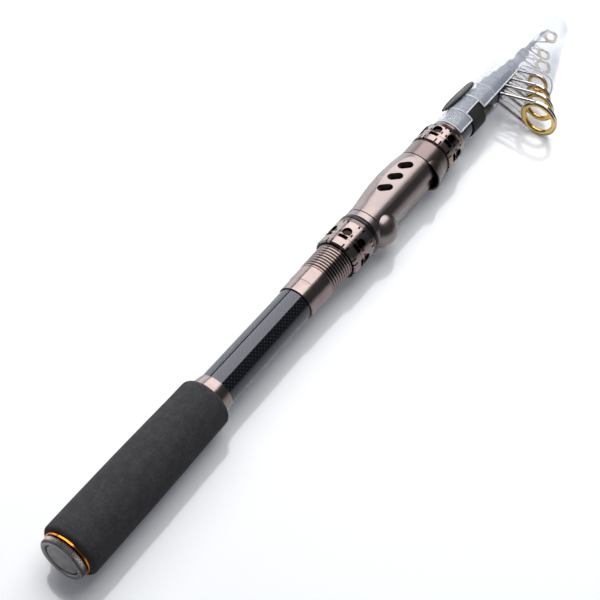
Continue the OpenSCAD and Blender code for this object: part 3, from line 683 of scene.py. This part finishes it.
def clip_edges(rows):
    """Paths of the beads along the clip's edges and its seam."""
    stations = clip_stations()
    seam = min(range(len(stations)), key=lambda i: abs(stations[i] - SEAM_X))
    notch = [row[0] for row in rows[:NOTCH_FIRST]] + rows[NOTCH_FIRST][:NOTCH_COLUMNS]
    notch += [row[NOTCH_COLUMNS] for row in rows[NOTCH_FIRST:NOTCH_LAST]]
    notch += rows[NOTCH_LAST][NOTCH_COLUMNS:0:-1] + [row[0] for row in rows[NOTCH_LAST:]]
    slit = SLIT_COLUMNS[0]
    return {"notch": notch, "far_side": [row[-1] for row in rows], "rear": rows[0][:slit],
            "strap_rear": rows[NOTCH_FIRST][NOTCH_COLUMNS:slit],
            "strap_front": rows[NOTCH_LAST][NOTCH_COLUMNS:slit],
            "seam": rows[seam][:SEAM_COLUMNS]}


def bag_rows():
    """Rows of points round the bag, whose mouth arches forward on both sides of the guides."""
    rows = []
    for share in spread(0, 1, BAG_ROWS):
        back, front = bag_row(share)
        x = MOUTH_X + (BAG_END_X - MOUTH_X) * share
        row = [off_axis(x, *point) for point in back]
        last = len(front) - 1
        fade = max(0.0, 1 - share / ARCH_SHARE) ** 2
        for k, point in enumerate(front[1:-1], 1):
            half = min(k, last - k) / (last / 2)
            arch = ARCH_DEPTH * math.sin(math.pi * half) ** ARCH_SHARPNESS * fade
            row.append(off_axis(x + arch, *point))
        rows.append(row)
    return rows


def bag_shape(rows):
    """Tube through the bag's rows, closed at its front by a fan."""
    width = len(rows[0])
    verts = sum(rows, [])
    end = len(verts) - width
    fan = [(end + k, end + (k + 1) % width, len(verts)) for k in range(width)]
    tip = off_axis(BAG_END_X, FRONT_BAG[1] / 2, 0)
    return verts + [tip], grid_faces(len(rows), width, closed=True) + fan


def build_cover():
    clip, bag = clip_rows(), bag_rows()
    cover = new_piece("cover_vinyl", join([clip_shape(clip), bag_shape(bag)]), CLEAR, "cover")
    wall = cover.modifiers.new("wall", "SOLIDIFY")
    wall.thickness = COVER_WALL
    wall.offset = 0
    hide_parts("tip_cover")
    edges = clip_edges(clip)
    edges["mouth"] = bag[0][len(clip[0]) - 1:] + bag[0][:1]
    beads = [tube(edges[name], radius) for name, radius in BEADS.items()]
    new_piece("cover_edge", join(beads), EDGE, "cover")


# Strap: a webbing band round the blank under the cover, and a leaf-shaped tab outside it

STRAP_REAR, STRAP_FRONT = COVER_X + 0.0126, COVER_X + 0.0246
STRAP_INNER, STRAP_OUTER, STRAP_BEVEL = 0.00873, 0.0097, 0.0003
STRAP_RIB_INSET, STRAP_RIB_POINTS, STRAP_RIB_DEPTH = 0.0012, 17, 0.00012
LEAF_REAR, LEAF_FRONT, LEAF_R = COVER_X + 0.0094, COVER_X + 0.0376, 0.0113
LEAF_ROWS, LEAF_COLUMNS = 29, 17
LEAF_TURN, LEAF_HALF = math.radians(-50), math.radians(27)
LEAF_STALK, LEAF_SHARPNESS = 0.16, 1.3
LEAF_SWELL_START, LEAF_SWELL_RATE = 0.1, 0.62
LEAF_ROUND_FROM, LEAF_END = 0.82, 0.1
LEAF_EDGE, LEAF_RISE, LEAF_RISE_SHARPNESS, LEAF_FLAT = 0.0005, 0.0016, 0.6, 0.08
LEAF_RIM, LEAF_RIM_WIDTH = 0.84, 0.14
WEB_TURN = math.radians(-54)
WEB_ROWS, WEB_INSET = 6, 0.0004
WEB_INNER, WEB_OUTER, WEB_HALF = 0.0095, LEAF_R + 0.0004, 0.0007


def band_profile():
    ribs = spread(STRAP_REAR + STRAP_RIB_INSET, STRAP_FRONT - STRAP_RIB_INSET, STRAP_RIB_POINTS)
    rear = [(STRAP_REAR, STRAP_INNER), (STRAP_REAR, STRAP_OUTER - STRAP_BEVEL),
            (STRAP_REAR + STRAP_BEVEL, STRAP_OUTER)]
    middle = [(x, STRAP_OUTER - STRAP_RIB_DEPTH * (k % 2)) for k, x in enumerate(ribs)]
    front = [(STRAP_FRONT - STRAP_BEVEL, STRAP_OUTER), (STRAP_FRONT, STRAP_OUTER - STRAP_BEVEL),
             (STRAP_FRONT, STRAP_INNER)]
    return rear + middle + front


def leaf_half_angle(share):
    """Half of the leaf's width at a share of its length, as an angle round the rod."""
    wave = min(1.0, LEAF_SWELL_START + LEAF_SWELL_RATE * share)
    swell = math.sin(math.pi * wave) ** LEAF_SHARPNESS
    half = LEAF_HALF * (LEAF_STALK + (1 - LEAF_STALK) * swell)
    if share > LEAF_ROUND_FROM:
        past = (share - LEAF_ROUND_FROM) / (1 - LEAF_ROUND_FROM)
        half *= math.sqrt(max(0.0, 1 - past ** 2)) or LEAF_END
    return half


def leaf_lift(share, place):
    """Height of the leaf over its back, which is highest along a rim near each side."""
    rim = math.exp(-((abs(place) - LEAF_RIM) / LEAF_RIM_WIDTH) ** 2)
    wave = min(1.0, LEAF_FLAT + (1 - LEAF_FLAT) * share)
    rise = math.sin(math.pi * wave) ** LEAF_RISE_SHARPNESS
    return LEAF_EDGE + LEAF_RISE * rise * (LEAF_FLAT + (1 - LEAF_FLAT) * rim)


def leaf_shape():
    """Closed shape between the leaf's outer face and its round back."""
    outer, back = [], []
    for share in spread(0, 1, LEAF_ROWS):
        x = LEAF_REAR + (LEAF_FRONT - LEAF_REAR) * share
        for place in spread(-1, 1, LEAF_COLUMNS):
            turn = LEAF_TURN + leaf_half_angle(share) * place
            outer.append(round_axis(x, turn, LEAF_R + leaf_lift(share, place)))
            back.append(round_axis(x, turn, LEAF_R))
    count = len(outer)
    faces = grid_faces(LEAF_ROWS, LEAF_COLUMNS)
    faces += [tuple(i + count for i in face) for face in faces]
    rim = grid_rim(LEAF_ROWS, LEAF_COLUMNS)
    faces += [(a, b, b + count, a + count) for a, b in zip(rim, rim[1:] + rim[:1])]
    return outer + back, faces


def web_shape():
    """Short bar that joins the band to the leaf."""
    out = round_axis(0, WEB_TURN, 1)
    side = Vector((0, math.cos(WEB_TURN), math.sin(WEB_TURN)))
    corners = [(WEB_INNER, -WEB_HALF), (WEB_OUTER, -WEB_HALF), (WEB_OUTER, WEB_HALF), (WEB_INNER, WEB_HALF)]
    stations = spread(STRAP_REAR + WEB_INSET, STRAP_FRONT - WEB_INSET, WEB_ROWS)
    verts = [Vector((x, 0, 0)) + out * r + side * w for x in stations for r, w in corners]
    ends = [tuple(range(len(corners))), tuple(range(len(verts) - len(corners), len(verts)))]
    return verts, grid_faces(WEB_ROWS, len(corners), closed=True) + ends


def build_strap():
    band = new_piece("strap_band", lathe(band_profile(), COARSE_TURN), WEBBING, "handle")
    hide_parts("cover_strap")
    new_piece("strap_tab", leaf_shape(), TAB, "handle")
    new_piece("strap_web", web_shape(), WEBBING, "handle", smooth=False)


# Guides: two thin bent wires in front of each frame's legs

WIRE_R, WIRE_BOW, WIRE_POINTS = 0.00042, 0.0016, 11
WIRE_SPREAD = math.radians(25)
FOOT_AHEAD, TOP_AHEAD = 0.0014, 0.0002
FOOT_ACROSS, FOOT_SIDE, HOOP_SHARE = 0.9, 0.4, 0.97


def guide_distances(name):
    """Distances of a CAD node's points from the rod's axis towards the guides."""
    return [GUIDE.dot(v.co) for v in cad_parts[name].data.vertices]


def brace_path(number, side):
    """Bent path of one wire, from a guide's ferrule to its hoop."""
    legs = guide_distances("guide_frame_%d" % number)
    ring = guide_distances("guide_ring_%d" % number)
    low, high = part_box("guide_ring_%d" % number)
    x = (low[0] + high[0]) / 2
    middle = (min(ring) + max(ring)) / 2
    hoop, wrap = HOOP_SHARE * (max(legs) - middle), -min(legs)
    foot = off_axis(x + FOOT_AHEAD, FOOT_ACROSS * wrap, side * FOOT_SIDE * wrap)
    top_across, top_side = middle - hoop * math.cos(WIRE_SPREAD), hoop * math.sin(WIRE_SPREAD)
    top = off_axis(x + TOP_AHEAD, top_across, side * top_side)
    shares = spread(0, 1, WIRE_POINTS)
    return [foot.lerp(top, t) + Vector((WIRE_BOW * math.sin(math.pi * t), 0, 0)) for t in shares]


def build_braces():
    for number, body in zip(GUIDE_NUMBERS, GUIDE_BODIES):
        wires = [tube(brace_path(number, side), WIRE_R) for side in (-1, 1)]
        new_piece("guide_brace_%d" % number, join(wires), SMOKE, body)


# CAD nodes that keep their shape, with their materials

# Distances past a ferrule's radius between which its dark wrap ends
WRAP_EDGE = (0.0001, 0.0004)


def dress(material, *names):
    for name in names:
        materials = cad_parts[name].data.materials
        materials.clear()
        materials.append(material)


def dress_guide_frame(number):
    """Bright wires on a ferrule with a dark wrap."""
    name = "guide_frame_%d" % number
    wrap = -min(guide_distances(name))
    shade_and_wrap_radii = [wrap + past for past in WRAP_EDGE]
    finish = metal("smoke_chrome_%d" % number, *SMOKE_TONES, **SMOKE_FINISH, shade_and_wrap_radii=shade_and_wrap_radii, shade_and_wrap_tone=WRAP_DARK)
    dress(finish, name)


dress(COPPER, "trim_ring")
dress(GOLD, "tip_ring", *["guide_ring_%d" % number for number in GUIDE_NUMBERS])
dress(CHROME, "grip_collar", "front_check")
# The thread and the nut's rings carry painted shade in their grooves and recesses
dress(THREAD_PAINTED_SHADE, "seat_tube")
dress(NUT_PAINTED_SHADE, "lock_ring", "lock_nut", "upper_ring", "fixed_crown")
dress(SATIN, "seat_body")
dress(HOOD, "fixed_hood")
dress(CARBON, "butt_section")
dress(LACQUER, "tip_section", *["section_%d" % number for number in range(2, 7)])
dress(SMOKE, "tip_frame")
for guide_number in GUIDE_NUMBERS:
    dress_guide_frame(guide_number)
dress(RUBBER, "cap_damper", "seat_oring")
dress(STEEL, "butt_insert")

build_cap()
build_hood()
build_grip()
build_cover()
build_strap()
build_braces()


# Floor, light and camera

FLOOR_HALF, FLOOR_BACK = 3, 1.15
WALL_BEND_R, WALL_TOP, BEND_POINTS = 0.25, 0.7, 9

# Distances from the rod's middle and the strength of the floor's own glow there
GLOW_STOPS = [(0.5, 0.11), (2.0, 0.8)]
GLOW_X, GLOW_RAMP = 0.22, 2.5
GLOW_TONE = (0.82, 0.88, 1.0, 1)

WORLD_TONE = (0.9, 0.95, 1.0, 1)
WORLD_LIGHT, WORLD_SEEN = 0.09, 1.0

PANEL_PLACE, PANEL_SIZE, PANEL_RADIANCE = (1.15, 0.51, 1.0), (1.9, 1.78), 3.0

# The camera that was fitted to the photograph
SENSOR, LENS = 36, 99
CAMERA_RIGHT = Vector((0.57625, -0.81731, 0.0))
CAMERA_BACK = Vector((-0.51825, -0.36540, 0.7733))
CAMERA_PLACE = (-0.24874, -0.30744, 0.64958)


def make_floor():
    """Pale glossy floor, with a glow that only the camera, reflections and clear pieces see."""
    g = Graph("floor_white").set(roughness=0.1, specular_ior_level=1.0, emission_color=GLOW_TONE)
    cloud = g.noise(scale=3, detail=2)
    g.put(g.tones(cloud, (0.92, 0.925, 0.94), (0.94, 0.945, 0.955)), "Base Color")
    rays = g.nodes.new("ShaderNodeLightPath").outputs
    indirect = g.math("ADD", rays["Is Glossy Ray"], rays["Is Transmission Ray"])
    seen = g.math("ADD", rays["Is Camera Ray"], indirect)
    x, y, z = g.xyz()
    far = g.length(g.math("SUBTRACT", x, GLOW_X), y)
    stops = [(distance / GLOW_RAMP, strength) for distance, strength in GLOW_STOPS]
    glow = g.ramp(g.times(far, 1 / GLOW_RAMP), stops)
    g.put(g.times(seen, glow), "Emission Strength")
    return g.mat


def build_floor():
    """Floor that sweeps up into a low wall on the left, out of the camera's view."""
    bend = [(FLOOR_BACK + WALL_BEND_R * math.sin(turn), WALL_BEND_R - WALL_BEND_R * math.cos(turn))
            for turn in spread(0, math.pi / 2, BEND_POINTS)]
    outline = [(-FLOOR_HALF, 0)] + bend + [(FLOOR_BACK + WALL_BEND_R, WALL_TOP)]
    verts = [(x, y, FLOOR_Z + z) for x in (-FLOOR_HALF, FLOOR_HALF) for y, z in outline]
    mesh = bpy.data.meshes.new("floor")
    mesh.from_pydata(verts, [], grid_faces(2, len(outline)))
    shade(mesh)
    obj = add_object("floor", mesh)
    mesh.materials.append(make_floor())


def build_world():
    """Dim sky, which is white where the camera sees it."""
    world = bpy.data.worlds.new("studio")
    scene.world = world
    world.use_nodes = True
    nodes, links = world.node_tree.nodes, world.node_tree.links
    background = nodes["Background"]
    background.inputs["Color"].default_value = WORLD_TONE
    level = nodes.new("ShaderNodeMapRange")
    level.inputs["To Min"].default_value = WORLD_LIGHT
    level.inputs["To Max"].default_value = WORLD_SEEN
    links.new(nodes.new("ShaderNodeLightPath").outputs["Is Camera Ray"], level.inputs["Value"])
    links.new(level.outputs["Result"], background.inputs["Strength"])


def build_softbox():
    """Flat panel overhead that faces straight down."""
    data = bpy.data.lights.new("overhead", "AREA")
    data.shape = "RECTANGLE"
    data.size, data.size_y = PANEL_SIZE
    data.energy = PANEL_RADIANCE * math.pi * PANEL_SIZE[0] * PANEL_SIZE[1]
    add_object("overhead", data).location = PANEL_PLACE


def build_camera():
    data = bpy.data.cameras.new("camera")
    data.sensor_width = SENSOR
    data.lens = LENS
    obj = add_object("camera", data)
    up = CAMERA_BACK.cross(CAMERA_RIGHT)
    matrix = Matrix((CAMERA_RIGHT, up, CAMERA_BACK)).transposed().to_4x4()
    matrix.translation = CAMERA_PLACE
    obj.matrix_world = matrix
    scene.camera = obj


build_floor()
build_world()
build_softbox()
build_camera()
scene.view_settings.view_transform = "Standard"
